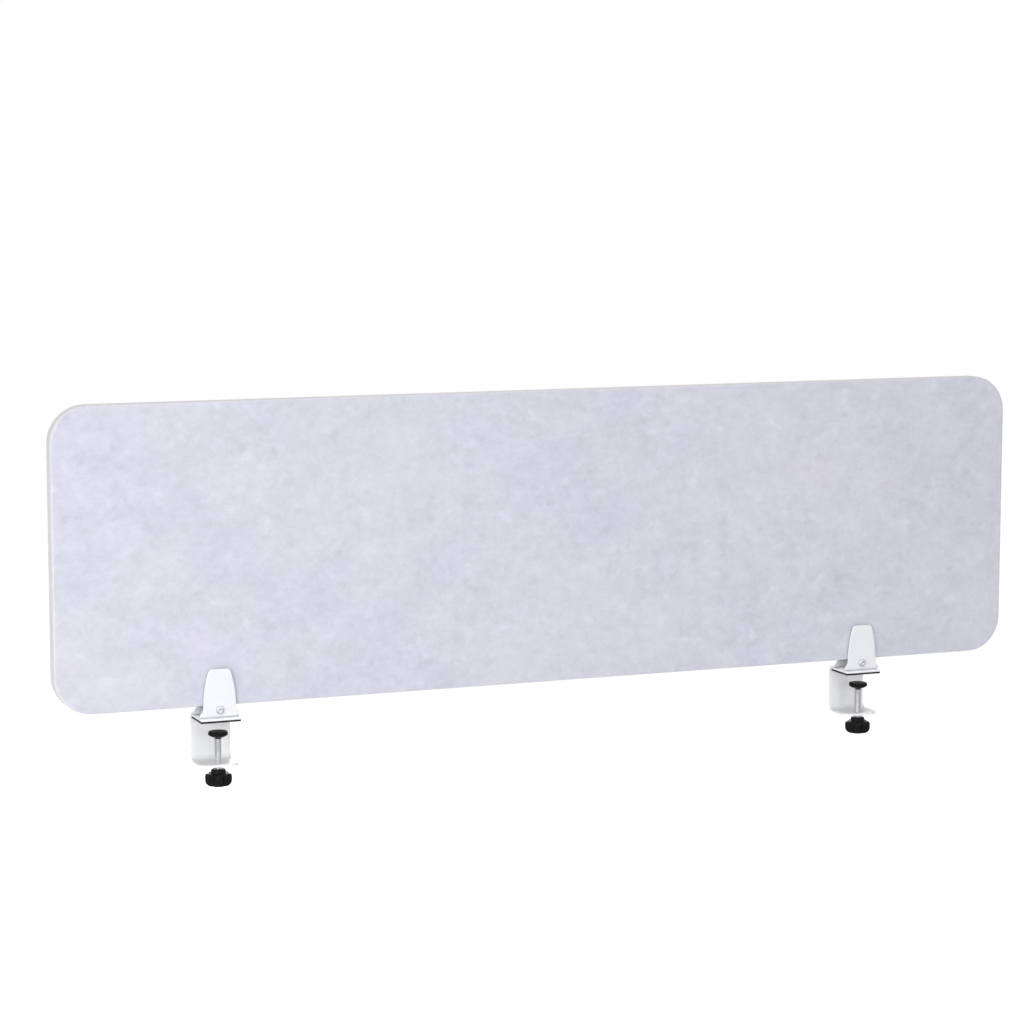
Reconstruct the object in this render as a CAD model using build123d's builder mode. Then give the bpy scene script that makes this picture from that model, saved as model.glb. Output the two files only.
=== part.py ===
from build123d import *
import os
from math import cos, radians, sin

# A felt desk screen gripped by two steel clamps. X runs along the panel, Y away from the person who
# faces it, Z up. The origin lies in the middle of the panel's length and thickness, at the height of
# the desk top. All sizes are in millimetres.

# Felt panel: one pressed board with large round corners
panel_length = 1400.0
panel_height = 400.0
panel_thickness = 24.0
panel_corner_radius = 50.0
panel_edge_round = 1.5
panel_gap = 15.5  # from the clamp's upper arm to the lower edge of the panel

# Place of each clamp, from the nearer end of the panel to the middle of the clamp
clamp_insets = {"left": 218.0, "right": 229.0}

# Clamp frame: a steel strip bent into a C that is open to the front
strip_width = 54.0
strip_thickness = 3.0
upper_bend_radius = 3.0
lower_bend_radius = 8.0
throat_height = 56.5  # from the desk top to the lower arm
front_margin = 5.5  # bare arm in front of the front jaw
upper_corner_radius = 1.5
lower_corner_radius = 15.0
lower_arm_setback = 2.0  # the lower arm ends this far behind the upper one
strip_edge_round = 0.5
collar_radius = 7.5  # of the tapped collar under the lower arm
collar_height = 2.5

# Desk pad: foam glued under the upper arm
desk_pad_thickness = 2.5
desk_pad_corner_radius = 1.0
desk_pad_web_gap = 1.0  # from the foam to the start of the bend

# Jaws: two tapered steel ears, each bent to a foot that lies on the upper arm
jaw_thickness = 2.5
jaw_bend_radius = 2.5
ear_height = 65.0
ear_shoulder_width = 44.0
ear_shoulder_height = 14.0
ear_top_width = 28.0
ear_corner_radius = 5.0
ear_side_bulge = 2.2
ear_flare_sag = 1.2
jaw_travel = 4.0
foot_land = 2.0  # metal left beyond the slots of the front foot

# Liners: rubber sheets glued to the inner faces of the jaws
liner_thickness = 2.0
liner_inset = 2.5
liner_start = 11.0  # height of their lower edge above the upper arm

# Guide screws of the front jaw and rivets of the rear jaw
guide_shank_radius = 2.0
guide_head_radius = 3.8
guide_head_height = 2.2
guide_spacing = 28.0
guide_clearance = 0.2  # all round the shank in its slot, and under the head
rivet_shank_radius = 2.0
rivet_head_radius = 2.8
rivet_head_height = 1.6
rivet_spacing = 28.0
rivet_margin = 0.4

# Pinch bolt that draws the two jaws together, and its nut behind the rear jaw
bolt_radius = 3.0
bolt_length = 40.0
bolt_head_radius = 5.5
bolt_head_height = 3.3
bolt_head_round = 2.2
bolt_panel_gap = 2.0
bolt_hole_clearance = 0.3
bolt_socket_width = 4.0  # across the flats of its hexagonal key hole
bolt_socket_depth = 2.0
nut_width = 10.0  # across the flats
nut_thickness = 5.0

# Clamp screw, with a ball at its upper end and a star knob below
screw_radius = 5.0
screw_setback = 16.0  # from the front edge of the upper arm to the axis
screw_in_knob = 13.0
screw_chamfer = 1.0
ball_radius = 3.0
neck_radius = 2.2
neck_gap = 1.0  # bare neck between the swivel pad and the shank
knob_radius = 18.5
knob_height = 22.0
knob_gap = 5.0  # from the lower arm to the top of the knob
knob_waist_radius = 12.0  # from the axis to the bottom of a valley
knob_lobe_radius = 6.0
knob_lobes = 5
knob_edge_round = 1.5
knob_hub_radius = 9.8
knob_hub_height = 5.5
knob_foot_radius = 12.2  # of the underside, where the lobes have drawn in
knob_swell_radius = 19.2  # widest reach of the barrel that rounds the lobes off
knob_shoulder_radius = 17.6  # of the same barrel at the top of the lobes
knob_dish_radius = 8.0
knob_dish_depth = 1.0
knob_turns = {"left": -106.0, "right": -119.0}  # bearing of one lobe, in degrees

# Swivel pad on the ball of the clamp screw
desk_gap = 14.0  # free height between the desk pad and the swivel pad
swivel_radius = 13.0
swivel_rim_height = 4.2
swivel_edge_round = 1.6
swivel_hub_radius = 6.0
swivel_belly_sag = 0.7  # by which the underside swells between rim and hub
swivel_roof = 1.8  # plastic left above the ball
swivel_lip = 1.0  # height of the lip that snaps under the ball

# Clearances and the overrun of all cuts
thread_clearance = 0.05
press_clearance = 0.02
ball_clearance = 0.3
cut_overrun = 1.0

# Places that follow from the sizes above
arm_low = desk_pad_thickness
arm_top = arm_low + strip_thickness
panel_low = arm_top + panel_gap
ear_inner = panel_thickness / 2 + liner_thickness
ear_outer = ear_inner + jaw_thickness
arm_front = -(ear_outer + front_margin)
rivet_depth = ear_outer + jaw_bend_radius + rivet_margin + rivet_head_radius
arm_flat_end = rivet_depth + rivet_head_radius + rivet_margin
web_inner = arm_flat_end + upper_bend_radius
arm_back = web_inner + strip_thickness
lower_arm_top = -throat_height
lower_arm_low = lower_arm_top - strip_thickness
lower_arm_front = arm_front + lower_arm_setback
bolt_height = panel_low - bolt_panel_gap - bolt_radius
guide_depth = -ear_inner + jaw_bend_radius + guide_head_radius + guide_clearance
slot_half_width = guide_shank_radius + guide_clearance
front_foot_end = guide_depth + jaw_travel + slot_half_width + foot_land
screw_depth = arm_front + screw_setback
swivel_top = -desk_gap
ball_centre = swivel_top - swivel_roof - ball_radius
neck_top = ball_centre - (ball_radius**2 - neck_radius**2) ** 0.5
swivel_low = neck_top - swivel_lip
shank_top = swivel_low - neck_gap
knob_top = lower_arm_low - knob_gap
knob_low = knob_top - knob_height
star_top = knob_top - knob_hub_height


def side_plane(station, depth=0.0, height=0.0):
    """Plane across the clamp: its x is the row's Y and its y is the row's Z."""
    return Plane(origin=(station, depth, height), x_dir=(0, 1, 0), z_dir=(1, 0, 0))


def front_plane(station, depth=0.0, height=0.0):
    """Plane that faces the person: its x is the row's X, its y is the row's Z and its normal is -Y."""
    return Plane(origin=(station, depth, height), x_dir=(1, 0, 0), z_dir=(0, -1, 0))


def level_plane(station, depth=0.0, height=0.0):
    """Level plane with the row's X and Y."""
    return Plane(origin=(station, depth, height))


def save(piece, name):
    """Labels a finished piece and writes it."""
    piece.label = name
    export_step(piece, f"parts/{name}.step")


def make_felt_panel():
    """Board with round corners and slightly eased edges."""
    with BuildPart() as board:
        middle = panel_low + panel_height / 2
        with BuildSketch(front_plane(0, panel_thickness / 2, middle)):
            RectangleRounded(panel_length, panel_height, panel_corner_radius)
        extrude(amount=panel_thickness)
        broad_faces = board.faces().filter_by(Axis.Y)
        fillet(broad_faces.edges(), radius=panel_edge_round)
    return board.part


def make_clamp_frame(station):
    """Bent strip: upper arm, web at the back and lower arm with a tapped collar under it."""
    upper_line = arm_low + strip_thickness / 2
    lower_line = lower_arm_low + strip_thickness / 2
    web_line = arm_back - strip_thickness / 2
    with BuildPart() as frame:
        with BuildSketch(side_plane(station)):
            with BuildLine():
                FilletPolyline(
                    (arm_front, upper_line),
                    (web_line, upper_line),
                    (web_line, lower_line),
                    (lower_arm_front, lower_line),
                    radius=[
                        upper_bend_radius + strip_thickness / 2,
                        lower_bend_radius + strip_thickness / 2,
                    ],
                )
            trace(line_width=strip_thickness)
        extrude(amount=strip_width / 2, both=True)
        corners = frame.edges().filter_by(Axis.Z).group_by(Axis.Y)[0]
        fillet(corners, radius=upper_corner_radius)
        corners = frame.edges().filter_by(Axis.Z).filter_by_position(
            Axis.Z, lower_arm_low, lower_arm_top
        )
        fillet(corners, radius=lower_corner_radius)
        sides = frame.faces().filter_by(Axis.X)
        fillet(sides.edges(), radius=strip_edge_round)
        with BuildSketch(level_plane(station, screw_depth, lower_arm_low)):
            Circle(collar_radius)
        extrude(amount=-collar_height)
        with BuildSketch(level_plane(station, screw_depth, lower_arm_top + cut_overrun)):
            Circle(screw_radius + thread_clearance)
        extrude(amount=-(strip_thickness + collar_height + 2 * cut_overrun), mode=Mode.SUBTRACT)
        with BuildSketch(level_plane(station, 0, arm_low - cut_overrun)):
            with Locations((-guide_spacing / 2, guide_depth), (guide_spacing / 2, guide_depth)):
                Circle(guide_shank_radius + press_clearance)
            with Locations((-rivet_spacing / 2, rivet_depth), (rivet_spacing / 2, rivet_depth)):
                Circle(rivet_shank_radius + press_clearance)
        extrude(amount=strip_thickness + 2 * cut_overrun, mode=Mode.SUBTRACT)
    return frame.part


def make_desk_pad(station):
    """Flat foam sheet under the upper arm, from its front edge to just before the bend."""
    pad_back = arm_flat_end - desk_pad_web_gap
    with BuildPart() as pad:
        with BuildSketch(level_plane(station, (arm_front + pad_back) / 2)):
            RectangleRounded(strip_width, pad_back - arm_front, desk_pad_corner_radius)
        extrude(amount=desk_pad_thickness)
    return pad.part


def ear_outline(plane, inset=0.0):
    """Outline of an ear above the upper arm: straight at the foot, a short flare, then bulging sides
    that draw in towards a narrow top with round corners. The inset moves every side inwards."""
    half_base = strip_width / 2 - inset
    half_shoulder = ear_shoulder_width / 2 - inset
    half_top = ear_top_width / 2 - inset
    flare_start = jaw_thickness + jaw_bend_radius
    top = ear_height - inset
    with BuildSketch(plane) as outline:
        with BuildLine():
            Polyline((0, 0), (half_base, 0), (half_base, flare_start))
            SagittaArc(
                (half_base, flare_start), (half_shoulder, ear_shoulder_height), ear_flare_sag
            )
            SagittaArc((half_shoulder, ear_shoulder_height), (half_top, top), -ear_side_bulge)
            Line((half_top, top), (0, top))
            mirror(about=Plane.YZ)
        make_face()
        fillet(outline.vertices().group_by(Axis.Y)[-1], radius=ear_corner_radius)
    return outline.sketch


def make_jaw(station, facing, foot_reach):
    """Ear and foot bent from one sheet. Facing is -1 for the jaw in front of the panel and 1 for the
    one behind it, and the foot ends at the depth foot_reach."""
    ear_line = facing * (ear_inner + jaw_thickness / 2)
    foot_line = jaw_thickness / 2
    with BuildPart() as jaw:
        with BuildSketch(side_plane(station, 0, arm_top)):
            with BuildLine():
                FilletPolyline(
                    (foot_reach, foot_line),
                    (ear_line, foot_line),
                    (ear_line, ear_height),
                    radius=jaw_bend_radius + jaw_thickness / 2,
                )
            trace(line_width=jaw_thickness)
        extrude(amount=strip_width / 2, both=True)
        outline = ear_outline(front_plane(station, arm_back, arm_top))
        extrude(outline, amount=arm_back - arm_front, mode=Mode.INTERSECT)
        with BuildSketch(front_plane(station, arm_back, bolt_height)):
            Circle(bolt_radius + bolt_hole_clearance)
        extrude(amount=arm_back - arm_front, mode=Mode.SUBTRACT)
        if facing < 0:
            slot_middle = guide_depth + jaw_travel / 2
            with BuildSketch(level_plane(station, 0, arm_top - cut_overrun)):
                with Locations((-guide_spacing / 2, slot_middle), (guide_spacing / 2, slot_middle)):
                    SlotCenterToCenter(jaw_travel, 2 * slot_half_width, rotation=90)
            extrude(amount=jaw_thickness + 2 * cut_overrun, mode=Mode.SUBTRACT)
        else:
            with BuildSketch(level_plane(station, 0, arm_top - cut_overrun)):
                with Locations((-rivet_spacing / 2, rivet_depth), (rivet_spacing / 2, rivet_depth)):
                    Circle(rivet_shank_radius + press_clearance)
            extrude(amount=jaw_thickness + 2 * cut_overrun, mode=Mode.SUBTRACT)
    return jaw.part


def make_liner(station, facing):
    """Rubber sheet on the inner face of an ear, with a slot from below round the pinch bolt."""
    hole_radius = bolt_radius + bolt_hole_clearance
    bolt_rise = bolt_height - arm_top
    depth = -panel_thickness / 2 if facing < 0 else ear_inner
    with BuildPart() as liner:
        extrude(ear_outline(front_plane(station, depth, arm_top), liner_inset), amount=liner_thickness)
        split(bisect_by=level_plane(station, 0, arm_top + liner_start), keep=Keep.TOP)
        with BuildSketch(front_plane(station, depth, bolt_height)):
            Circle(hole_radius)
            Rectangle(2 * hole_radius, bolt_rise, align=(Align.CENTER, Align.MAX))
        extrude(amount=liner_thickness, mode=Mode.SUBTRACT)
    return liner.part


def make_guide_screws(station):
    """Pair of button screws that hold the front foot down on the arm and let it slide."""
    head_low = arm_top + jaw_thickness + guide_clearance
    with BuildPart() as screws:
        with BuildSketch(level_plane(station, guide_depth, arm_low)):
            with Locations((-guide_spacing / 2, 0), (guide_spacing / 2, 0)):
                Circle(guide_shank_radius)
        extrude(amount=head_low - arm_low)
        with BuildSketch(level_plane(station, guide_depth, head_low)):
            with Locations((-guide_spacing / 2, 0), (guide_spacing / 2, 0)):
                Circle(guide_head_radius)
        extrude(amount=guide_head_height)
        rims = screws.edges().filter_by(GeomType.CIRCLE).group_by(Axis.Z)[-1]
        fillet(rims, radius=guide_head_height / 2)
    return screws.part


def make_jaw_rivets(station):
    """Pair of round rivets through the rear foot and the arm."""
    head_low = arm_top + jaw_thickness
    with BuildPart() as rivets:
        with BuildSketch(level_plane(station, rivet_depth, arm_low)):
            with Locations((-rivet_spacing / 2, 0), (rivet_spacing / 2, 0)):
                Circle(rivet_shank_radius)
        extrude(amount=head_low - arm_low)
        with BuildSketch(level_plane(station, rivet_depth, head_low)):
            with Locations((-rivet_spacing / 2, 0), (rivet_spacing / 2, 0)):
                Circle(rivet_head_radius)
        extrude(amount=rivet_head_height)
        rims = rivets.edges().filter_by(GeomType.CIRCLE).group_by(Axis.Z)[-1]
        fillet(rims, radius=rivet_head_height * 2 / 3)
    return rivets.part


def make_pinch_bolt(station):
    """Button-head bolt through both ears, with a hexagonal key hole in its head."""
    with BuildPart() as bolt:
        with BuildSketch(front_plane(station, -ear_outer, bolt_height)):
            Circle(bolt_head_radius)
        extrude(amount=bolt_head_height)
        rim = bolt.edges().sort_by(Axis.Y)[0]
        fillet(rim, radius=bolt_head_round)
        with BuildSketch(front_plane(station, -ear_outer, bolt_height)):
            Circle(bolt_radius)
        extrude(amount=-bolt_length)
        with BuildSketch(front_plane(station, -ear_outer - bolt_head_height, bolt_height)):
            RegularPolygon(bolt_socket_width / 2, 6, major_radius=False)
        extrude(amount=-bolt_socket_depth, mode=Mode.SUBTRACT)
    return bolt.part


def make_pinch_nut(station):
    """Hexagon nut fixed to the back of the rear ear."""
    with BuildPart() as nut:
        with BuildSketch(front_plane(station, ear_outer, bolt_height)):
            RegularPolygon(nut_width / 2, 6, major_radius=False)
            Circle(bolt_radius + thread_clearance, mode=Mode.SUBTRACT)
        extrude(amount=-nut_thickness)
    return nut.part


def make_clamp_screw(station):
    """Turned screw: ball, neck, threaded shank and the end that is moulded into the knob."""
    screw_low = knob_top - screw_in_knob
    with BuildPart() as screw:
        with BuildSketch(front_plane(station, screw_depth)):
            with BuildLine():
                ThreePointArc(
                    (0, ball_centre + ball_radius),
                    (ball_radius, ball_centre),
                    (neck_radius, neck_top),
                )
                Polyline(
                    (neck_radius, neck_top),
                    (neck_radius, shank_top),
                    (screw_radius - screw_chamfer, shank_top),
                    (screw_radius, shank_top - screw_chamfer),
                    (screw_radius, screw_low + screw_chamfer),
                    (screw_radius - screw_chamfer, screw_low),
                    (0, screw_low),
                    (0, ball_centre + ball_radius),
                )
            make_face()
        revolve(axis=Axis((station, screw_depth, 0), (0, 0, 1)))
    return screw.part


def polar(radius, degrees):
    """Point at a bearing and a distance from the axis."""
    return Vector(radius * cos(radians(degrees)), radius * sin(radians(degrees)))


def make_knob(station, turn):
    """Moulded star knob: round lobes that a barrel rounds off, a hub above them at the screw and a
    shallow dish underneath. Each lobe's arc is tangent to the arcs of the valleys beside it."""
    lobe_circle = knob_radius - knob_lobe_radius
    half_pitch = 180 / knob_lobes
    reach = cos(radians(half_pitch)) * lobe_circle
    valley_radius = (
        lobe_circle**2 + knob_waist_radius**2 - 2 * knob_waist_radius * reach - knob_lobe_radius**2
    ) / (2 * (knob_lobe_radius - knob_waist_radius + reach))
    lobe_share = knob_lobe_radius / (knob_lobe_radius + valley_radius)
    with BuildPart() as knob:
        with BuildSketch(level_plane(station, screw_depth, knob_low)):
            with BuildLine():
                for lobe in range(knob_lobes):
                    tip = turn + 2 * half_pitch * lobe
                    centre = polar(lobe_circle, tip)
                    valley_before = polar(knob_waist_radius + valley_radius, tip - half_pitch)
                    valley_after = polar(knob_waist_radius + valley_radius, tip + half_pitch)
                    next_centre = polar(lobe_circle, tip + 2 * half_pitch)
                    start = centre + (valley_before - centre) * lobe_share
                    end = centre + (valley_after - centre) * lobe_share
                    next_start = next_centre + (valley_after - next_centre) * lobe_share
                    ThreePointArc(start, polar(knob_radius, tip), end)
                    ThreePointArc(end, polar(knob_waist_radius, tip + half_pitch), next_start)
            make_face()
        extrude(amount=star_top - knob_low)
        with BuildSketch(front_plane(station, screw_depth)):
            with BuildLine():
                Polyline((0, star_top), (0, knob_low), (knob_foot_radius, knob_low))
                ThreePointArc(
                    (knob_foot_radius, knob_low),
                    (knob_swell_radius, (knob_low + star_top) / 2),
                    (knob_shoulder_radius, star_top),
                )
                Line((knob_shoulder_radius, star_top), (0, star_top))
            make_face()
        revolve(axis=Axis((station, screw_depth, 0), (0, 0, 1)), mode=Mode.INTERSECT)
        fillet(knob.edges().group_by(Axis.Z)[-1], radius=knob_edge_round)
        with BuildSketch(level_plane(station, screw_depth, star_top)):
            Circle(knob_hub_radius)
        extrude(amount=knob_hub_height)
        fillet(knob.edges().group_by(Axis.Z)[-1], radius=knob_edge_round)
        with BuildSketch(level_plane(station, screw_depth, knob_low)):
            Circle(knob_dish_radius)
        extrude(amount=knob_dish_depth, mode=Mode.SUBTRACT)
        with BuildSketch(level_plane(station, screw_depth, knob_top)):
            Circle(screw_radius + press_clearance)
        extrude(amount=-screw_in_knob, mode=Mode.SUBTRACT)
    return knob.part


def make_swivel_pad(station):
    """Round pad with a conical hub, hollow inside for the ball, with a lip that snaps under it."""
    cavity_radius = ball_radius + ball_clearance
    cavity_top = swivel_top - swivel_roof + ball_clearance
    lip_radius = neck_radius + ball_clearance
    rim_low = swivel_top - swivel_rim_height
    with BuildPart() as pad:
        with BuildSketch(front_plane(station, screw_depth)) as section:
            with BuildLine():
                SagittaArc((swivel_radius, rim_low), (swivel_hub_radius, swivel_low), -swivel_belly_sag)
                Polyline(
                    (swivel_hub_radius, swivel_low),
                    (lip_radius, swivel_low),
                    (lip_radius, neck_top),
                    (cavity_radius, neck_top),
                    (cavity_radius, cavity_top),
                    (0, cavity_top),
                    (0, swivel_top),
                    (swivel_radius, swivel_top),
                    (swivel_radius, rim_low),
                )
            make_face()
            rim_points = section.vertices().sort_by(Axis.X)[-2:]
            fillet(rim_points, radius=swivel_edge_round)
        revolve(axis=Axis((station, screw_depth, 0), (0, 0, 1)))
    return pad.part


save(make_felt_panel(), "felt_panel")

for side, facing in (("left", -1), ("right", 1)):
    station = facing * (panel_length / 2 - clamp_insets[side])
    save(make_clamp_frame(station), f"{side}_clamp_frame")
    save(make_desk_pad(station), f"{side}_desk_pad")
    save(make_jaw(station, -1, front_foot_end), f"{side}_front_jaw")
    save(make_jaw(station, 1, arm_flat_end), f"{side}_rear_jaw")
    save(make_liner(station, -1), f"{side}_front_liner")
    save(make_liner(station, 1), f"{side}_rear_liner")
    save(make_guide_screws(station), f"{side}_guide_screws")
    save(make_jaw_rivets(station), f"{side}_jaw_rivets")
    save(make_pinch_bolt(station), f"{side}_pinch_bolt")
    save(make_pinch_nut(station), f"{side}_pinch_nut")
    save(make_clamp_screw(station), f"{side}_clamp_screw")
    save(make_knob(station, knob_turns[side]), f"{side}_knob")
    save(make_swivel_pad(station), f"{side}_swivel_pad")
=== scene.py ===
import math

import bmesh
import bpy
import numpy as np
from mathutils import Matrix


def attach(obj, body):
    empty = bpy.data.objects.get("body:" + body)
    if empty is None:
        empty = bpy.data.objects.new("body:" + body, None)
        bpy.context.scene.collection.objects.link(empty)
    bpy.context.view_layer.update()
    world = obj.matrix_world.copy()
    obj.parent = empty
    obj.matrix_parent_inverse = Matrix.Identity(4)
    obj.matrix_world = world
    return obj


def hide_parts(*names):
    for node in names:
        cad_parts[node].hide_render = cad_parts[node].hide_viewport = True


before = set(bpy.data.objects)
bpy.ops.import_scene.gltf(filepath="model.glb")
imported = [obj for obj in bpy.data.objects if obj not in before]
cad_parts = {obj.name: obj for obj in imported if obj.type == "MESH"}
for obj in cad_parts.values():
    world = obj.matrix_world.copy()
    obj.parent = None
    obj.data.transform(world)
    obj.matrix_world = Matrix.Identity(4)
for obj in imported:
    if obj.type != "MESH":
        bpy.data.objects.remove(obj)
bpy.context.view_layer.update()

# A felt desk screen gripped by two steel clamps, in metres. X runs along the panel, Y away from its
# front and Z up from the desk top.

# Camera: a lens of 103 mm, 4 m from the screen, 22 degrees to its left and 7 degrees above the level.
# It was fitted to the four straight edges of the panel.

down_degrees, left_degrees = 6.95, 22.1
camera_data = bpy.data.cameras.new("photo_camera")
camera_data.lens = 103.1
camera_data.sensor_width = 36.0
camera_data.clip_end = 60.0
camera = bpy.data.objects.new("photo_camera", camera_data)
camera.location = (-1.550, -3.663, 0.738)
camera.rotation_euler = (math.radians(90 - down_degrees), 0, math.radians(-left_degrees))
bpy.context.scene.collection.objects.link(camera)
bpy.context.scene.camera = camera
bpy.context.scene.view_settings.view_transform = "Standard"


# Studio: a white room that looks pure white, also in bright metal, but lights the screen dimly. Soft
# lamps stand low on the right, in front, on the left, above and behind. The low one throws the clamps'
# shadows to the left, and the floor far below glows, so that it looks white.

def add_node(tree, kind, settings=None, **inputs):
    """Adds a node; settings are its own choices, and each input is a value or a socket to link. An
    input is called by its name, with underscores for spaces, or by n and its number."""
    made = tree.nodes.new(kind)
    for key, value in (settings or {}).items():
        setattr(made, key, value)
    for key, value in inputs.items():
        numbered = key[0] == "n" and key[1:].isdigit()
        socket = made.inputs[int(key[1:]) if numbered else key.replace("_", " ")]
        if isinstance(value, bpy.types.NodeSocket):
            tree.links.new(value, socket)
        else:
            socket.default_value = value
    return made


def maths(tree, operation, first, second=0.0, clamp=False):
    """Result of an operation on one or two sockets or numbers; clamp holds it between 0 and 1."""
    settings = {"operation": operation, "use_clamp": clamp}
    return add_node(tree, "ShaderNodeMath", settings, n0=first, n1=second).outputs[0]


def span(tree, value, start, end, low, high):
    """A value carried in proportion from start..end to low..high, and held at both ends."""
    return add_node(tree, "ShaderNodeMapRange", Value=value, From_Min=start, From_Max=end,
                    To_Min=low, To_Max=high).outputs[0]


room_light, camera_glow = 0.33, 0.69
world = bpy.data.worlds.new("white_room")
world.use_nodes = True
tree = world.node_tree
tree.nodes.clear()
ray = add_node(tree, "ShaderNodeLightPath")
seen = maths(tree, "MAXIMUM", ray.outputs["Is Camera Ray"], ray.outputs["Is Glossy Ray"])
seen = maths(tree, "MAXIMUM", seen, ray.outputs["Is Transmission Ray"])
dim = add_node(tree, "ShaderNodeBackground", Color=(1.0, 1.0, 1.0, 1), Strength=room_light)
white = add_node(tree, "ShaderNodeBackground", Color=(1.0, 0.998, 1.0, 1), Strength=1.0)
mixed = add_node(tree, "ShaderNodeMixShader", n0=seen, n1=dim.outputs[0], n2=white.outputs[0])
add_node(tree, "ShaderNodeOutputWorld", Surface=mixed.outputs[0])
bpy.context.scene.world = world


def soft_lamp(name, stand, target, size, watts):
    """Square area lamp that stands at one place and faces another."""
    lamp_data = bpy.data.lights.new(name, "AREA")
    lamp_data.shape = "SQUARE"
    lamp_data.size = size
    lamp_data.energy = watts
    lamp = bpy.data.objects.new(name, lamp_data)
    back = np.array(stand, float) - np.array(target, float)
    lamp.location = stand
    lamp.rotation_euler = (math.atan2(math.hypot(back[0], back[1]), back[2]), 0,
                           math.atan2(back[1], back[0]) + math.pi / 2)
    bpy.context.scene.collection.objects.link(lamp)


soft_lamp("firm_lamp", (1.15, -3.4, 0.25), (0.0, 0, 0.1), size=0.8, watts=11)
soft_lamp("front_lamp", (-0.6, -3.4, 1.2), (0.0, 0, 0.1), size=2.2, watts=26)
soft_lamp("wide_lamp", (-2.9, -2.1, 0.7), (-0.4, 0, 0.15), size=1.6, watts=48.5)
soft_lamp("top_lamp", (0.0, -0.3, 3.0), (0.0, 0, 0.2), size=1.5, watts=19)
soft_lamp("back_lamp", (1.2, 3.2, 0.8), (0.0, 0, 0.1), size=1.5, watts=42)

floor_half, floor_level = 14.0, -0.74
corners = np.array([[-1, -1], [1, -1], [1, 1], [-1, 1]]) * floor_half
floor_mesh = bpy.data.meshes.new("pale_floor")
floor_mesh.from_pydata(np.column_stack([corners, np.full(4, floor_level)]).tolist(), [], [(0, 1, 2, 3)])
floor = bpy.data.objects.new("pale_floor", floor_mesh)
bpy.context.scene.collection.objects.link(floor)
floor_paint = bpy.data.materials.new("pale_floor")
floor_paint.use_nodes = True
tree = floor_paint.node_tree
tree.nodes.clear()
place = add_node(tree, "ShaderNodeTexCoord").outputs["Object"]
grain = add_node(tree, "ShaderNodeTexNoise", Vector=place, Scale=3.0, Detail=4.0).outputs["Fac"]
matt = add_node(tree, "ShaderNodeBsdfDiffuse", Color=span(tree, grain, 0.0, 1.0, 0.91, 0.94))
ray = add_node(tree, "ShaderNodeLightPath")
glow = add_node(tree, "ShaderNodeEmission",
                Strength=maths(tree, "MULTIPLY", ray.outputs["Is Camera Ray"], camera_glow))
both = add_node(tree, "ShaderNodeAddShader", n0=matt.outputs[0], n1=glow.outputs[0])
add_node(tree, "ShaderNodeOutputMaterial", Surface=both.outputs[0])
floor_mesh.materials.append(floor_paint)


# Felt panel: one board of pressed polyester felt, 24 mm thick, cut out with round corners. Each face
# stands back by 0.2 mm, clear of the liners, and the cut edges are softly rounded. Darker and lighter
# fibres heather the faces; the edge shows the layers and is painted paler, partly as painted light on the
# rounded edges.

def grid_quads(rows, columns, first=0, ring=False):
    """Corner numbers of the quads between neighbours of a grid of points; a ring joins its last column
    to its first."""
    row, column = np.mgrid[0:rows - 1, 0:columns - (0 if ring else 1)]
    beside = (column + 1) % columns
    corners = (row * columns + column, row * columns + beside, (row + 1) * columns + beside,
               (row + 1) * columns + column)
    return first + np.stack(corners, axis=-1).reshape(-1, 4)


crisp_edge = 38.0


def put_mesh(name, points, quads, crisp_degrees=crisp_edge):
    """Makes an object of points and quads: equal points are merged, faces point outwards, and only
    edges that turn by more than the given angle stay crisp."""
    mesh = bpy.data.meshes.new(name)
    mesh.from_pydata(np.asarray(points, float).reshape(-1, 3).tolist(), [], np.asarray(quads).tolist())
    soup = bmesh.new()
    soup.from_mesh(mesh)
    bmesh.ops.remove_doubles(soup, verts=soup.verts, dist=2e-6)
    bmesh.ops.recalc_face_normals(soup, faces=soup.faces)
    soup.to_mesh(mesh)
    soup.free()
    mesh.shade_smooth()
    mesh.set_sharp_from_angle(angle=math.radians(crisp_degrees))
    piece = bpy.data.objects.new(name, mesh)
    bpy.context.scene.collection.objects.link(piece)
    return piece


def round_outline(length, width, corner, corner_count, straight):
    """Half widths, and their places along the length, of a rectangle with round corners. With an angle
    a from 0 to 90 degrees, a corner reaches the place corner * (1 - cos a), where the half width is
    width / 2 - corner * (1 - sin a). Straight gives the places between the corners."""
    turn = np.linspace(0, math.pi / 2, corner_count)
    near = corner * (1 - np.cos(turn))
    narrow = width / 2 - corner * (1 - np.sin(turn))
    along = np.concatenate([near, straight, length - near[::-1]])
    half = np.concatenate([narrow, np.full(len(straight), width / 2), narrow[::-1]])
    return half, along


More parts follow.
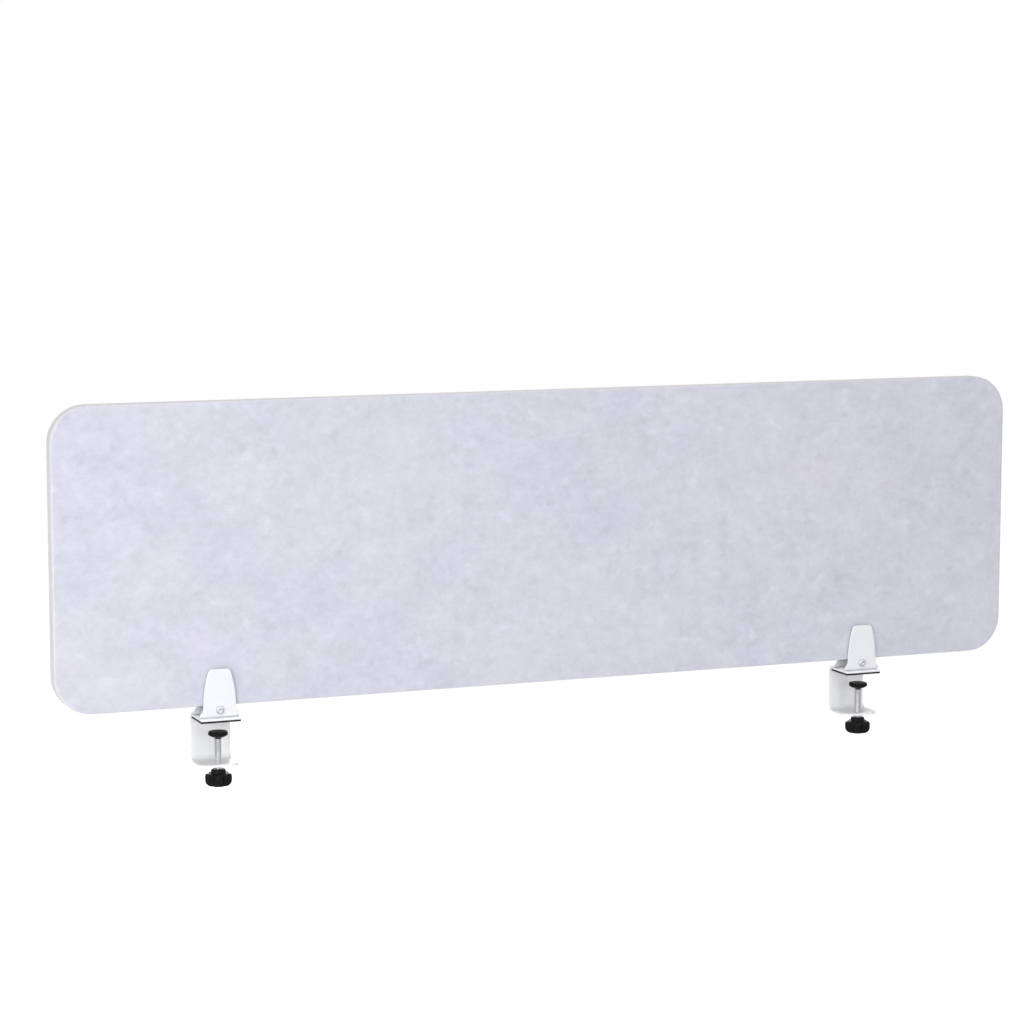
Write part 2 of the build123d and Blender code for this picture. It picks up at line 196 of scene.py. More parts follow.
def plate(half, along, columns, thickness, edge_round, steps=5):
    """Flat plate with rounded rims. Its outline is two mirrored sides, at half widths given along its
    length, joined by straight ends. The rim is that loop, moved inwards along its own normal by
    edge_round * (1 - sin a) while it falls by edge_round * (1 - cos a), with a from 0 to 90 degrees at
    the top and back again below. Each broad face is filled with straight rows from side to side.
    Returns points (across, along, up) and quads."""
    count = len(half)
    share = np.linspace(-1, 1, columns + 1)
    near_end = np.column_stack([half[0] * share, np.full(columns + 1, along[0])])
    far_end = np.column_stack([-half[-1] * share, np.full(columns + 1, along[-1])])
    right = np.column_stack([half[1:-1], along[1:-1]])
    left = np.column_stack([-half[1:-1], along[1:-1]])[::-1]
    loop = np.concatenate([near_end, right, far_end, left])
    ahead = np.roll(loop, -1, axis=0) - loop
    ahead /= np.linalg.norm(ahead, axis=1, keepdims=True)
    run = ahead + np.roll(ahead, 1, axis=0)
    run /= np.linalg.norm(run, axis=1, keepdims=True)
    outward = np.column_stack([run[:, 1], -run[:, 0]])
    quarter = np.linspace(0, math.pi / 2, steps + 1)
    inset = edge_round * (1 - np.sin(quarter))
    drop = edge_round * (1 - np.cos(quarter))
    insets = np.concatenate([inset, inset[::-1]])
    heights = np.concatenate([thickness - drop, drop[::-1]])
    rim = np.empty((len(insets), len(loop), 3))
    rim[..., :2] = loop - outward * insets[:, None, None]
    rim[..., 2] = heights[:, None]
    fill = np.linspace(0, 1, columns + 1)[None, :, None]
    faces = []
    for ring in (rim[0], rim[-1]):
        lefts = ring[-np.arange(count) % len(loop)][:, None]
        rights = ring[columns:columns + count][:, None]
        face = lefts + (rights - lefts) * fill
        face[0] = ring[:columns + 1]
        face[-1] = ring[columns + count - 1:2 * columns + count][::-1]
        faces.append(face)
    rim_size = rim[..., 0].size
    face_size = faces[0][..., 0].size
    points = np.concatenate([rim.reshape(-1, 3), faces[0].reshape(-1, 3), faces[1].reshape(-1, 3)])
    quads = np.concatenate([
        grid_quads(len(insets), len(loop), 0, ring=True),
        grid_quads(count, columns + 1, rim_size),
        grid_quads(count, columns + 1, rim_size + face_size),
    ])
    return points, quads


panel_length, panel_height, panel_thickness = 1.400, 0.400, 0.0236
panel_corner, panel_edge, panel_low, panel_wave = 0.050, 0.003, 0.021, 0.00012
straight = np.linspace(panel_corner, panel_length - panel_corner, 261)[1:-1]
half, along = round_outline(panel_length, panel_height, panel_corner, 15, straight)
flat, quads = plate(half, along, columns=80, thickness=panel_thickness, edge_round=panel_edge, steps=8)
across_panel = flat[:, 1] - panel_length / 2
up_panel = panel_low + panel_height / 2 + flat[:, 0]
swell = (np.sin(9.1 * across_panel + 1.3) * np.sin(14.0 * up_panel + 0.4)
         + np.sin(23.0 * across_panel + 31.0 * up_panel + 2.1) * 0.5
         + np.sin(37.0 * across_panel - 43.0 * up_panel) * 0.3)
depth = panel_thickness / 2 - flat[:, 2] + panel_wave * swell
points = np.column_stack([across_panel, depth, up_panel])
felt_board = put_mesh("felt_board", points, quads, crisp_degrees=60)


def principled(name, **sockets):
    """Material with one Principled shader; a number or colour that is the same all over is set on the
    shader's own socket. Returns the material, its tree and the place on the piece."""
    made = bpy.data.materials.new(name)
    made.use_nodes = True
    tree = made.node_tree
    for key, value in sockets.items():
        tree.nodes["Principled BSDF"].inputs[key.replace("_", " ")].default_value = value
    return made, tree, add_node(tree, "ShaderNodeTexCoord").outputs["Object"]


def cover(tree, colour, height, strength, distance, roughness=None):
    """Gives the shader its colour, the bumps of a height and, where it varies, its roughness."""
    shader = tree.nodes["Principled BSDF"]
    bumps = add_node(tree, "ShaderNodeBump", Height=height, Strength=strength, Distance=distance)
    tree.links.new(colour, shader.inputs["Base Color"])
    tree.links.new(bumps.outputs[0], shader.inputs["Normal"])
    if roughness is not None:
        tree.links.new(roughness, shader.inputs["Roughness"])


def blend(tree, share, low, high):
    """Colour that goes from low to high as the share goes from 0 to 1."""
    return add_node(tree, "ShaderNodeMix", {"data_type": "RGBA"}, n0=share, n6=low, n7=high).outputs[2]


def heather(tree, place, scale, detail, amount=1.0):
    """Noise stretched by a different scale along each axis, as a signed value that averages nought and
    is multiplied by amount. One scale stands for all three axes."""
    scales = scale if isinstance(scale, tuple) else (scale, scale, scale)
    stretched = add_node(tree, "ShaderNodeMapping", {"vector_type": "POINT"}, Vector=place, Scale=scales)
    noise = add_node(tree, "ShaderNodeTexNoise", Vector=stretched.outputs[0], Scale=1.0, Detail=detail,
                     Roughness=0.55)
    return maths(tree, "MULTIPLY", maths(tree, "SUBTRACT", noise.outputs["Fac"], 0.5), amount)


def total(tree, first, *others):
    """Sum of several sockets or numbers."""
    for other in others:
        first = maths(tree, "ADD", first, other)
    return first


def as_share(tree, signed):
    """A signed value as a share: nought becomes a half, and the result is held between 0 and 1."""
    return maths(tree, "ADD", signed, 0.5, clamp=True)


def strands(tree, place, scale, width, amount):
    """Curly threads: amount along the lines where a stretched noise passes through its middle, fading to
    nought where it is width away from the middle."""
    off = maths(tree, "ABSOLUTE", heather(tree, place, scale, detail=1.0))
    return span(tree, off, 0.0, width, amount, 0.0)


# The heather goes from coarse clouds down to single fibres, each a share of the way between the tones
felt, tree, place = principled("pressed_felt", Roughness=0.95, Sheen_Weight=0.08, Sheen_Roughness=0.5,
                               Specular_IOR_Level=0.15)
clouds = heather(tree, place, (25, 37, 33), detail=3.0, amount=0.68)
flecks = heather(tree, place, (58, 84, 76), detail=2.0, amount=0.50)
specks = heather(tree, place, (190, 280, 270), detail=2.0, amount=0.10)
fibres = total(tree, heather(tree, place, (1900, 2200, 2000), detail=1.0, amount=0.24),
               strands(tree, place, (430, 420, 540), width=0.040, amount=0.20),
               strands(tree, place, (-390, 400, 470), width=0.040, amount=-0.20))
curls = total(tree, strands(tree, place, (56, 72, 72), width=0.080, amount=0.08),
              strands(tree, place, (-60, 76, 68), width=0.080, amount=-0.08))
dark_knots = span(tree, heather(tree, place, (46, 70, 60), detail=1.0), 0.09, 0.25, 0.0, -0.22)
pale_knots = span(tree, heather(tree, place, (-42, 64, 54), detail=1.0), 0.10, 0.25, 0.0, 0.22)
tone = as_share(tree, total(tree, clouds, flecks, specks, fibres, curls, dark_knots, pale_knots))
blush = as_share(tree, heather(tree, place, (11, 20, 13), detail=2.0, amount=1.4))
dark_felt = blend(tree, blush, (0.550, 0.576, 0.650, 1), (0.572, 0.557, 0.664, 1))
pale_felt = blend(tree, blush, (0.752, 0.779, 0.870, 1), (0.775, 0.757, 0.887, 1))
layers = as_share(tree, heather(tree, place, (60, 1400, 60), detail=2.0, amount=0.9))
# The edge's layers are the felt's own; its paler tones are partly painted light for the light that the
# rounded cut ends catch
cut_edge_with_painted_light = blend(tree, layers, (0.790, 0.766, 0.792, 1), (0.935, 0.906, 0.932, 1))
face_depth, edge_depth = 0.0119, 0.0100
off_middle = maths(tree, "ABSOLUTE", add_node(tree, "ShaderNodeSeparateXYZ", Vector=place).outputs["Y"])
on_edge = span(tree, off_middle, face_depth, edge_depth, 0.0, 1.0)
cover(tree, blend(tree, on_edge, blend(tree, tone, dark_felt, pale_felt), cut_edge_with_painted_light),
      total(tree, specks, fibres), strength=0.30, distance=0.0003)
felt_board.data.materials.append(felt)
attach(felt_board, "panel")
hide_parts("felt_panel")


# Clamp frames: a 3 mm steel strip, 54 mm wide, bent into a C that is open to the front, with a tapped
# collar welded under its lower arm. It is powder coated white, with a fine orange-peel surface; its white
# is painted a shade lighter than the jaws', as painted light that brightens the shaded inside of the C.

stations = {"left": -0.482, "right": 0.471}


def powder_coat(name, low, high):
    """White powder coat between two tones, with a fine orange peel and a slightly uneven gloss."""
    coat, tree, place = principled(name, Specular_IOR_Level=0.5)
    peel = heather(tree, place, 1100, detail=2.0)
    drift = heather(tree, place, 55, detail=3.0)
    tone = as_share(tree, total(tree, drift, maths(tree, "MULTIPLY", peel, 0.6)))
    cover(tree, blend(tree, tone, low, high), peel, strength=0.22, distance=0.00025,
          roughness=span(tree, drift, -0.3, 0.3, 0.34, 0.50))
    return coat


def dress(node, finish):
    """Gives a CAD node, whose shape is right, its finish."""
    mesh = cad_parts[node].data
    mesh.materials.clear()
    mesh.materials.append(finish)


# Painted light: this coat is lighter than the jaws' coat, so that the shaded inner faces of the C look
# almost unshaded
painted_light_frame_coat = powder_coat("white_coat_with_painted_light", (0.925, 0.932, 0.952, 1), (0.955, 0.960, 0.974, 1))
for side in stations:
    dress(f"{side}_clamp_frame", painted_light_frame_coat)


# Desk pads: black foam rubber, 2.5 mm thick, glued under the upper arm so that the clamp doesn't mark
# the desk top. Open cells show as fine pits.

foam, tree, place = principled("black_foam_rubber", Specular_IOR_Level=0.15)
cells = add_node(tree, "ShaderNodeTexVoronoi", Vector=place, Scale=1500.0).outputs["Distance"]
cloud = as_share(tree, heather(tree, place, 120, detail=3.0))
cover(tree, blend(tree, cloud, (0.010, 0.010, 0.011, 1), (0.028, 0.028, 0.030, 1)), cells,
      strength=0.5, distance=0.0003, roughness=span(tree, cells, 0.0, 1.0, 0.72, 0.95))

pad_length, pad_width, pad_thickness, pad_front = 0.0464, 0.054, 0.0025, -0.022
pad_corner, pad_edge, corner_margin = 0.001, 0.0005, 0.004
straight = np.linspace(corner_margin, pad_length - corner_margin, 10)
half, along = round_outline(pad_length, pad_width, pad_corner, 5, straight)
for side, station in stations.items():
    flat, quads = plate(half, along, columns=12, thickness=pad_thickness, edge_round=pad_edge, steps=3)
    pad = put_mesh(f"{side}_foam_pad", flat + (station, pad_front, 0), quads)
    pad.data.materials.append(foam)
    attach(pad, f"{side}_clamp")
    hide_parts(f"{side}_desk_pad")


# Jaws: two ears of 2.5 mm steel sheet, each bent to a foot that lies on the upper arm. The sides bulge
# gently, flare out to the foot and end in round corners at the top. Powder coated like the frame, and
# bored for the pinch bolt. The front foot has two slots for the guide screws.

def side_curve(start, end, bulge, count):
    """Side of a piece: the straight line between two points (half width, height), swollen across it by
    a parabola that reaches the bulge halfway."""
    share = np.linspace(0, 1, count)
    chord = np.array(end, float) - np.array(start, float)
    normal = np.array([chord[1], -chord[0]]) / np.linalg.norm(chord)
    line = np.array(start) + share[:, None] * chord
    return line + normal * (4 * bulge * share * (1 - share))[:, None]


def bend_up(flat, foot_end, foot_length, bend_radius, middle_height):
    """Carries a flat plate along a path: level along the foot towards the front, round a quarter circle
    of bend_radius, then straight up. A point keeps its distance above the path's middle line, measured
    along the path's own normal."""
    along, rise = flat[:, 1], flat[:, 2]
    arc_length = bend_radius * math.pi / 2
    angle = np.clip((along - foot_length) / bend_radius, 0, math.pi / 2)
    level = np.minimum(along, foot_length)
    climb = np.maximum(along - foot_length - arc_length, 0)
    depth = foot_end - level - bend_radius * np.sin(angle)
    height = middle_height + bend_radius * (1 - np.cos(angle)) + climb
    return np.column_stack([flat[:, 0], depth + rise * np.sin(angle), height + rise * np.cos(angle)])


def cut(piece, *cutters):
    """Takes the cutters out of a piece for good, and keeps its surfaces smooth."""
    for cutter in cutters:
        hole = piece.modifiers.new("hole", "BOOLEAN")
        hole.operation = "DIFFERENCE"
        hole.solver = "EXACT"
        hole.object = cutter
    finished = bpy.data.meshes.new_from_object(piece.evaluated_get(bpy.context.evaluated_depsgraph_get()))
    piece.modifiers.clear()
    piece.data = finished
    finished.shade_smooth()
    finished.set_sharp_from_angle(angle=math.radians(crisp_edge))
    for cutter in cutters:
        bpy.data.objects.remove(cutter)


def rod(name, centre, direction, radius, reach, stretch=0.0):
    """Round or long-round cutter: a circle of 48 points, pulled apart by stretch along Y and carried a
    reach to each side of its centre along direction, which is Y or Z."""
    bearing = np.linspace(0, 2 * math.pi, 48, endpoint=False)
    u, v = radius * np.cos(bearing), radius * np.sin(bearing)
    v = v + np.sign(np.round(v, 9)) * stretch / 2
    ends = np.array([-reach, -reach, reach, reach])
    size = np.array([0.0, 1.0, 1.0, 0.0])
    across, other = size[:, None] * u, size[:, None] * v
    axis = np.broadcast_to(ends[:, None], across.shape)
    order = (across, axis, other) if direction == "Y" else (across, other, axis)
    points = np.stack(order, axis=-1) + np.array(centre)
    return put_mesh(name, points, grid_quads(len(ends), len(bearing), 0, ring=True))


coat = powder_coat("white_powder_coat", (0.850, 0.866, 0.908, 1), (0.898, 0.912, 0.947, 1))

arm_low, arm_top, sheet, bend_inner = 0.0025, 0.0055, 0.0025, 0.0025
bend_middle = bend_inner + sheet / 2
foot_arc = bend_middle * math.pi / 2
ear_line, ear_low, neck_height, ear_top = 0.01525, sheet + bend_inner, 0.014, 0.065
foot_half, neck_half, tip_half, tip_round = 0.027, 0.022, 0.014, 0.0042
flare_bulge, flank_bulge, sheet_edge, row_gap = -0.0012, 0.0022, 0.0006, 0.0005
front_foot_end, rear_foot_end = 0.0007, 0.0254
bolt_height, bore_radius, cutter_reach = 0.016, 0.0033, 0.004
screw_offsets = (-0.014, 0.014)
slot_middle, slot_level, slot_radius, slot_stretch = -0.0055, 0.008, 0.0022, 0.004

flare = side_curve((foot_half, ear_low), (neck_half, neck_height), flare_bulge, count=9)
flank = side_curve((neck_half, neck_height), (tip_half, ear_top), flank_bulge, count=41)
shoulder = np.linspace(0, math.pi / 2, 10)
round_height = ear_top - tip_round * (1 - np.sin(shoulder))
round_half = np.interp(round_height, flank[:, 1], flank[:, 0]) - tip_round * (1 - np.cos(shoulder))
flank = flank[flank[:, 1] < ear_top - tip_round - row_gap]
ear_half = np.concatenate([flare[:, 0], flank[1:, 0], round_half])
ear_height = np.concatenate([flare[:, 1], flank[1:, 1], round_height])


def make_ear(name, station, foot_end, line):
    """One jaw: the foot's rows, the bend's rows and the ear's rows on one flat plate, then bent up. The
    foot's free end has small slanted corners. Line is the middle of the ear's sheet."""
    foot_length = foot_end - line - bend_middle
    nose_along, nose_cut = np.array([[0.0, 0.0004, 0.001], [0.001, 0.0002, 0.0]])
    level_rows = np.linspace(2 * nose_along[-1], foot_length, 6)
    foot_along = np.concatenate([nose_along, level_rows])
    foot_halves = np.concatenate([foot_half - nose_cut, np.full(len(level_rows), foot_half)])
    bend_along = foot_length + foot_arc * np.linspace(0, 1, 10)[1:-1]
    ear_along = foot_length + foot_arc + ear_height - ear_low
    along = np.concatenate([foot_along, bend_along, ear_along])
    half = np.concatenate([foot_halves, np.full(len(bend_along), foot_half), ear_half])
    flat, quads = plate(half, along, columns=14, thickness=sheet, edge_round=sheet_edge, steps=4)
    flat[:, 2] -= sheet / 2
    points = bend_up(flat, foot_end, foot_length, bend_middle, arm_top + sheet / 2)
    points[:, 0] += station
    return put_mesh(name, points, quads)


for side, station in stations.items():
    front_ear = make_ear(f"{side}_front_ear", station, front_foot_end, -ear_line)
    bore = rod("bore", (station, -ear_line, bolt_height), "Y", bore_radius, cutter_reach)
    slots = [rod("slot", (station + offset, slot_middle, slot_level), "Z", slot_radius, cutter_reach,
                 slot_stretch) for offset in screw_offsets]
    cut(front_ear, bore, *slots)
    front_ear.data.materials.append(coat)
    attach(front_ear, f"{side}_front_jaw")
    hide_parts(f"{side}_front_jaw")
    rear_ear = make_ear(f"{side}_rear_ear", station, rear_foot_end, ear_line)
    cut(rear_ear, rod("bore", (station, ear_line, bolt_height), "Y", bore_radius, cutter_reach))
    rear_ear.data.materials.append(coat)
    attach(rear_ear, f"{side}_clamp")
    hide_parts(f"{side}_rear_jaw")


# Liners: 2 mm sheets of dark rubber glued to the inner faces of the ears, so that the steel doesn't
# mark the felt. Each has a slot from below for the pinch bolt.

rubber, tree, place = principled("dark_liner_rubber", Specular_IOR_Level=0.3)
cloud = heather(tree, place, 90, detail=3.0)
grain = heather(tree, place, 1600, detail=2.0)
tone = as_share(tree, total(tree, cloud, grain))
cover(tree, blend(tree, tone, (0.016, 0.016, 0.017, 1), (0.045, 0.045, 0.047, 1)), grain,
      strength=0.3, distance=0.0002, roughness=span(tree, grain, -0.3, 0.3, 0.60, 0.85))
for side in stations:
    dress(f"{side}_front_liner", rubber)
    dress(f"{side}_rear_liner", rubber)


# Guide screws and rivets: two zinc-plated button screws with a hexagon key hole hold the front foot
# down and let it slide; two round-head rivets fix the rear foot.

zinc, tree, place = principled("bright_zinc", Metallic=1.0, Anisotropic=0.35)
cloud = heather(tree, place, 160, detail=3.0)
lines = heather(tree, place, (300, 300, 5200), detail=2.0)
tone = as_share(tree, total(tree, cloud, lines))
cover(tree, blend(tree, tone, (0.48, 0.485, 0.51, 1), (0.72, 0.725, 0.75, 1)), lines,
      strength=0.12, distance=0.0001, roughness=span(tree, lines, -0.3, 0.3, 0.26, 0.46))

around = np.linspace(0, 2 * math.pi, 72, endpoint=False)
upwards, forwards, backwards = (0, 0, 1), (0, -1, 0), (0, 1, 0)


def hexagon(across_flats):
    """Distance from the middle of a hexagon to its edge at each bearing."""
    return across_flats / 2 / np.cos(np.mod(around, math.pi / 3) - math.pi / 6)


def turned(centre, axis, radii, heights):
    """Closed surface from rings about an axis. Each ring has a radius, or one radius for each of the 72
    bearings, and a height along the axis; the first and last rings close in a point. The point at a
    bearing is centre + radius * (u cos + v sin) + height * axis. Returns points and quads."""
    rings = np.stack([np.broadcast_to(np.asarray(r, float), around.shape) for r in radii])
    levels = np.stack([np.broadcast_to(np.asarray(h, float), around.shape) for h in heights])
    axis = np.array(axis, float)
    u = np.array([1.0, 0.0, 0.0])
    v = np.cross(axis, u)
    spokes = np.cos(around)[:, None] * u + np.sin(around)[:, None] * v
    points = np.array(centre) + rings[..., None] * spokes + levels[..., None] * axis
    return points.reshape(-1, 3), grid_quads(len(rings), len(around), 0, ring=True)


def button(head_radius, head_height, key_width=0.0, key_depth=0.0):
    """Rings of a button head above its seat. Beyond 0.62 of its radius the height falls with a quarter
    ellipse to a quarter of the head's height. A hexagon key hole is sunk from its top, with a small
    cone at its bottom; a head without a key is a shade domed."""
    arc = np.linspace(0, math.pi / 2, 9)
    flat_top = head_radius * 0.62
    radii = [0.0, head_radius, *(flat_top + (head_radius - flat_top) * np.cos(arc))]
    heights = [0.0, 0.0, *(head_height * (0.25 + 0.75 * np.sin(arc)))]
    if key_width:
        hole = hexagon(key_width)
        radii += [hole * 1.10, hole, hole, 0.0]
        heights += [head_height, head_height * 0.97]
        heights += [head_height - key_depth, head_height - key_depth * 1.15]
    else:
        radii += [flat_top * 0.5, 0.0]
        heights += [head_height * 1.03, head_height * 1.04]
    return radii, heights


def join(*parts):
    """One list of points and quads from several."""
    offset, points, quads = 0, [], []
    for part_points, part_quads in parts:
        points.append(part_points)
        quads.append(part_quads + offset)
        offset += len(part_points)
    return np.concatenate(points), np.concatenate(quads)


pin_radius = 0.002


def headed_pair(name, station, depth, gap, head):
    """Two pins with a head, from the underside of the arm to their seats, a gap above the foot."""
    seat_level = arm_top + sheet + gap
    length = seat_level - arm_low
    parts = []
    for offset in screw_offsets:
        parts.append(turned((station + offset, depth, seat_level), upwards, *head))
        parts.append(turned((station + offset, depth, arm_low), upwards,
                            [0.0, pin_radius, pin_radius, 0.0], [0.0, 0.0, length, length]))
    return put_mesh(name, *join(*parts))


screw_depth, screw_gap, rivet_depth = -0.0075, 0.0002, 0.0222
screw_head = button(head_radius=0.0038, head_height=0.0022, key_width=0.0025, key_depth=0.0012)
rivet_head = button(head_radius=0.0028, head_height=0.0016)
for side, station in stations.items():
    screws = headed_pair(f"{side}_button_screws", station, screw_depth, screw_gap, screw_head)
    screws.data.materials.append(zinc)
    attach(screws, f"{side}_clamp")
    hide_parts(f"{side}_guide_screws")
    rivets = headed_pair(f"{side}_round_rivets", station, rivet_depth, 0.0, rivet_head)
    rivets.data.materials.append(zinc)
    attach(rivets, f"{side}_clamp")
    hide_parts(f"{side}_jaw_rivets")


# Pinch bolts and nuts: an M6 button-head bolt of zinc-plated steel runs through both ears under the
# panel and draws them together against a hexagon nut behind the rear ear.

def thread(top, low, crest, pitch, depth, steps_per_turn=8):
    """Rings of a thread from top to low: the radius is the crest less a rounded groove, whose place
    along the axis runs on by one pitch for each turn of the bearing. The groove fades out over the
    first and last turn."""
    level = np.linspace(top, low, int(abs(top - low) / pitch * steps_per_turn) + 1)
    phase = level[:, None] / pitch + around[None, :] / (2 * math.pi)
    groove = (0.5 - 0.5 * np.cos(2 * math.pi * phase)) ** 0.8
    fade = np.clip(np.minimum(abs(level - top), abs(level - low)) / pitch, 0, 1)[:, None]
    return list(crest - depth * groove * fade), list(level)


ear_face = ear_line + sheet / 2
bolt_length, bolt_radius, bolt_tip, plain_end = 0.040, 0.003, 0.0024, 0.0006
bolt_head = button(head_radius=0.0055, head_height=0.0033, key_width=0.004, key_depth=0.002)
grooves, levels = thread(-plain_end, plain_end - bolt_length, bolt_radius, pitch=0.001, depth=0.0005)
bolt_shank = ([0.0, bolt_radius, *grooves, bolt_tip, 0.0], [0.0, 0.0, *levels, -bolt_length, -bolt_length])

nut_width, nut_height, nut_bore, nut_mouth, mouth_depth = 0.010, 0.005, 0.00305, 0.0036, 0.0004
bevel_radius, bevel_low, bevel_high = 0.0053, 0.0002, 0.0007
nut_side = hexagon(nut_width)
bevel = np.minimum(nut_side, bevel_radius)
end_radii = [nut_bore, nut_mouth, bevel * 0.99, bevel, nut_side]
end_levels = np.array([mouth_depth, 0.0, 0.0, bevel_low, bevel_high])
nut_radii = [*end_radii, *end_radii[::-1], nut_bore]
nut_levels = [*end_levels, *(nut_height - end_levels[::-1]), mouth_depth]

for side, station in stations.items():
    seat = (station, -ear_face, bolt_height)
    bolt = put_mesh(f"{side}_button_bolt", *join(turned(seat, forwards, *bolt_head),
                                                 turned(seat, forwards, *bolt_shank)))
    bolt.data.materials.append(zinc)
    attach(bolt, f"{side}_pinch_bolt")
    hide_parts(f"{side}_pinch_bolt")
    nut_shape = turned((station, ear_face, bolt_height), backwards, nut_radii, nut_levels)
    nut = put_mesh(f"{side}_hexagon_nut", *nut_shape)
    nut.data.materials.append(zinc)
    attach(nut, f"{side}_clamp")
    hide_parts(f"{side}_pinch_nut")


# Clamp screws: M10 steel screws with a 1.5 mm thread, turned to a neck and a ball at the upper end for
# the swivel pad, with the lower end moulded into the knob.

spindle_depth, shank_top, spindle_low = -0.006, -0.0228396, -0.0775
spindle_radius, chamfer, shoulder_radius = 0.005, 0.001, 0.0038
ball_middle, ball_radius, neck_radius, neck_flare, flare_rise = -0.0188, 0.003, 0.0022, 0.0002, 0.0003
polar_angle = np.linspace(0, math.pi - math.asin(neck_radius / ball_radius), 14)
grooves, thread_levels = thread(shank_top - chamfer, spindle_low + chamfer, spindle_radius,
                                pitch=0.0015, depth=0.0007)
radii = [*(ball_radius * np.sin(polar_angle)), neck_radius, neck_radius + neck_flare, shoulder_radius,
         *grooves, spindle_radius - chamfer, 0.0]
levels = [*(ball_middle + ball_radius * np.cos(polar_angle)), shank_top + flare_rise, shank_top,
          shank_top, *thread_levels, spindle_low, spindle_low]
for side, station in stations.items():
    screw = put_mesh(f"{side}_threaded_screw", *turned((station, spindle_depth, 0), upwards, radii, levels))
    screw.data.materials.append(zinc)
    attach(screw, f"{side}_clamp_screw")
    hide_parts(f"{side}_clamp_screw")


# Knobs: five-lobed star knobs, moulded in black plastic round the lower end of the clamp screw. A hub
# stands above the lobes, which are rounded off towards a smaller underside with a shallow dish.

plastic, tree, place = principled("black_moulded_plastic", Specular_IOR_Level=0.12)
cloud = heather(tree, place, 110, detail=3.0)
grain = heather(tree, place, 2300, detail=2.0)
black = blend(tree, as_share(tree, cloud), (0.002, 0.002, 0.0024, 1), (0.008, 0.008, 0.009, 1))
cover(tree, black, grain, strength=0.15, distance=0.0002,
      roughness=span(tree, total(tree, cloud, grain), -0.5, 0.5, 0.30, 0.52))

knob_top, star_top, knob_low = -0.0645, -0.0700, -0.0865
knob_turns = {"left": -106.0, "right": -119.0}
half_step = math.pi / 5
lobe_circle, lobe_radius, waist = 0.0125, 0.006, 0.012
lobe_ahead = lobe_circle * math.cos(half_step)
valley = ((lobe_circle ** 2 + waist ** 2 - 2 * waist * lobe_ahead - lobe_radius ** 2)
          / (2 * (lobe_radius - waist + lobe_ahead)))
valley_circle = waist + valley
# The bearing at which a lobe's circle and a valley's circle touch
meet = lobe_radius / (lobe_radius + valley)
meet_x = lobe_circle + (valley_circle * math.cos(half_step) - lobe_circle) * meet
meet_y = valley_circle * math.sin(half_step) * meet
meet_angle = math.atan2(meet_y, meet_x)


def star(turn_degrees):
    """Distance from the knob's axis to its outline at each bearing: the far side of a lobe's circle, or
    between lobes the near side of the valley's circle. The valley's circle stands outside the waist on
    the bearing halfway between two lobes, and its radius is the one that makes it touch both."""
    off = np.abs(np.mod(around - math.radians(turn_degrees) + half_step, 2 * half_step) - half_step)
    lobe_chord = np.sqrt(np.maximum(lobe_radius ** 2 - (lobe_circle * np.sin(off)) ** 2, 0))
    lobe = lobe_circle * np.cos(off) + lobe_chord
    across = half_step - off
    hollow_chord = np.sqrt(np.maximum(valley ** 2 - (valley_circle * np.sin(across)) ** 2, 0))
    hollow = valley_circle * np.cos(across) - hollow_chord
    return np.where(off < meet_angle, lobe, hollow)


barrel_offset, barrel_arc, belly_rise = 0.0068, 0.0124, 0.0105


def barrel(level):
    """Radius of the barrel that rounds the lobes off, from 13.4 mm at the underside through 19.2 mm in
    the middle to 17.6 mm at the top: an arc of a circle about a point off the axis, at the level of the
    barrel's belly."""
    return barrel_offset + np.sqrt(barrel_arc ** 2 - (level - knob_low - belly_rise) ** 2)


def softer(first, second, crease):
    """Smaller of two radii, with the crease between them rounded over about the width given."""
    gap = np.clip(0.5 + 0.5 * (second - first) / crease, 0, 1)
    return second + (first - second) * gap - crease * gap * (1 - gap)


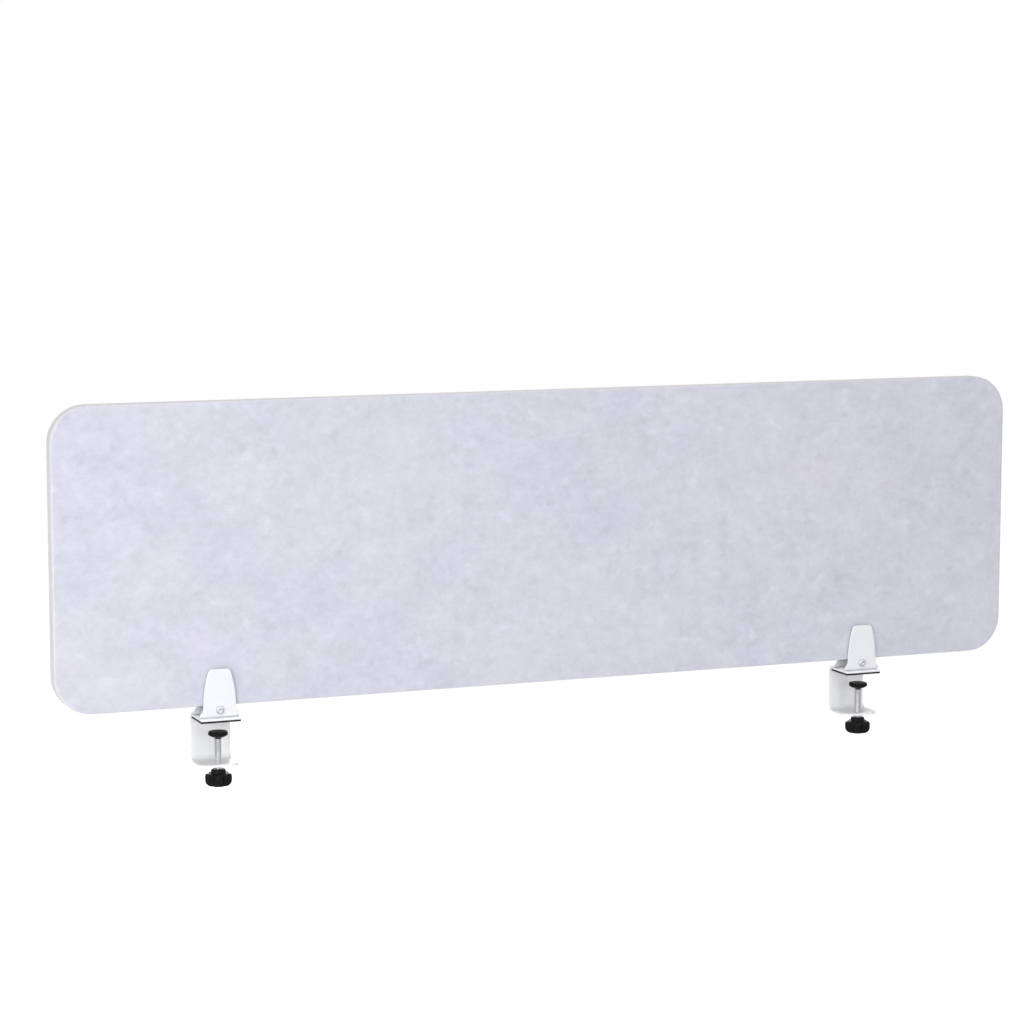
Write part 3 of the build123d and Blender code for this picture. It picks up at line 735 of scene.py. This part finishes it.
under_round, top_round, lobe_crease = 0.0008, 0.0022, 0.0016
hub_radius, hub_fillet, hub_round = 0.0098, 0.001, 0.0015
socket_mouth, socket_radius, mouth_step = 0.0055, 0.00502, 0.0005
dish_radii, dish_rises = [0.0, 0.0074, 0.0080, 0.0083], np.array([0.001, 0.001, 0.0004, 0.0])
quarter = np.linspace(0, math.pi / 2, 7)
fillet = np.linspace(0, math.pi / 2, 5)
wall_levels = np.linspace(knob_low + under_round, star_top - top_round, 16)[1:]
side_levels = np.concatenate([knob_low + under_round * (1 - np.cos(quarter)), wall_levels,
                              star_top - top_round * (1 - np.sin(quarter[1:]))])
side_insets = np.concatenate([under_round * (1 - np.sin(quarter)), np.zeros(len(wall_levels)),
                              top_round * (1 - np.cos(quarter[1:]))])
hub_foot = hub_radius + hub_fillet
for side, station in stations.items():
    lobed = softer(star(knob_turns[side]), barrel(side_levels)[:, None], lobe_crease)
    lobed = lobed - side_insets[:, None]
    shoulder_rings = [lobed[-1] + (hub_foot - lobed[-1]) * share for share in (0.3, 0.65)]
    radii = [*dish_radii, *lobed, *shoulder_rings, *(hub_foot - hub_fillet * np.sin(fillet)),
             *(hub_radius - hub_round * (1 - np.cos(quarter))),
             socket_mouth, socket_radius, socket_radius, 0.0]
    levels = [*(knob_low + dish_rises), *side_levels, star_top, star_top,
              *(star_top + hub_fillet * (1 - np.cos(fillet))),
              *(knob_top - hub_round * (1 - np.sin(quarter))),
              knob_top, knob_top - mouth_step, spindle_low, spindle_low]
    knob = put_mesh(f"{side}_star_knob", *turned((station, spindle_depth, 0), upwards, radii, levels))
    knob.data.materials.append(plastic)
    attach(knob, f"{side}_clamp_screw")
    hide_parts(f"{side}_knob")


# Swivel pads: round black plastic pads, snapped on the ball of the clamp screw, that press up against
# the underside of the desk top. The underside swells between the rim and the hub.

swivel_top, swivel_low, rim_low = -0.014, -0.0218396, -0.0182
swivel_radius, swivel_hub, swivel_round, belly_bulge = 0.013, 0.006, 0.0016, 0.0007
cavity_radius, cavity_top, lip_radius, neck_top = 0.0033, -0.0155, 0.0025, -0.0208396
lip_edge, hub_bevel, dish_radius, dish_edge, dish_depth = 0.0003, 0.0004, 0.0094, 0.0006, 0.0003
belly = side_curve((swivel_hub, swivel_low), (swivel_radius, rim_low), belly_bulge, count=12)
belly = belly[belly[:, 0] < swivel_radius - swivel_round / 2]
rim_radius, rim_start = belly[-1]
radii = [0.0, cavity_radius, cavity_radius, lip_radius, lip_radius, lip_radius + lip_edge,
         swivel_hub - hub_bevel, *belly[:, 0],
         *(rim_radius + (swivel_radius - rim_radius) * np.sin(quarter[1:])),
         *(swivel_radius - swivel_round * (1 - np.cos(quarter))),
         dish_radius + dish_edge, dish_radius + dish_edge / 2, dish_radius, 0.0]
levels = [cavity_top, cavity_top, neck_top, neck_top, swivel_low + lip_edge, swivel_low, swivel_low,
          *belly[:, 1], *(rim_start + swivel_round * (1 - np.cos(quarter[1:]))),
          *(swivel_top - swivel_round * (1 - np.sin(quarter))),
          swivel_top, swivel_top - dish_depth, swivel_top - dish_depth, swivel_top - dish_depth]
for side, station in stations.items():
    pad = put_mesh(f"{side}_swivel_foot", *turned((station, spindle_depth, 0), upwards, radii, levels))
    pad.data.materials.append(plastic)
    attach(pad, f"{side}_swivel_pad")
    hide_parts(f"{side}_swivel_pad")
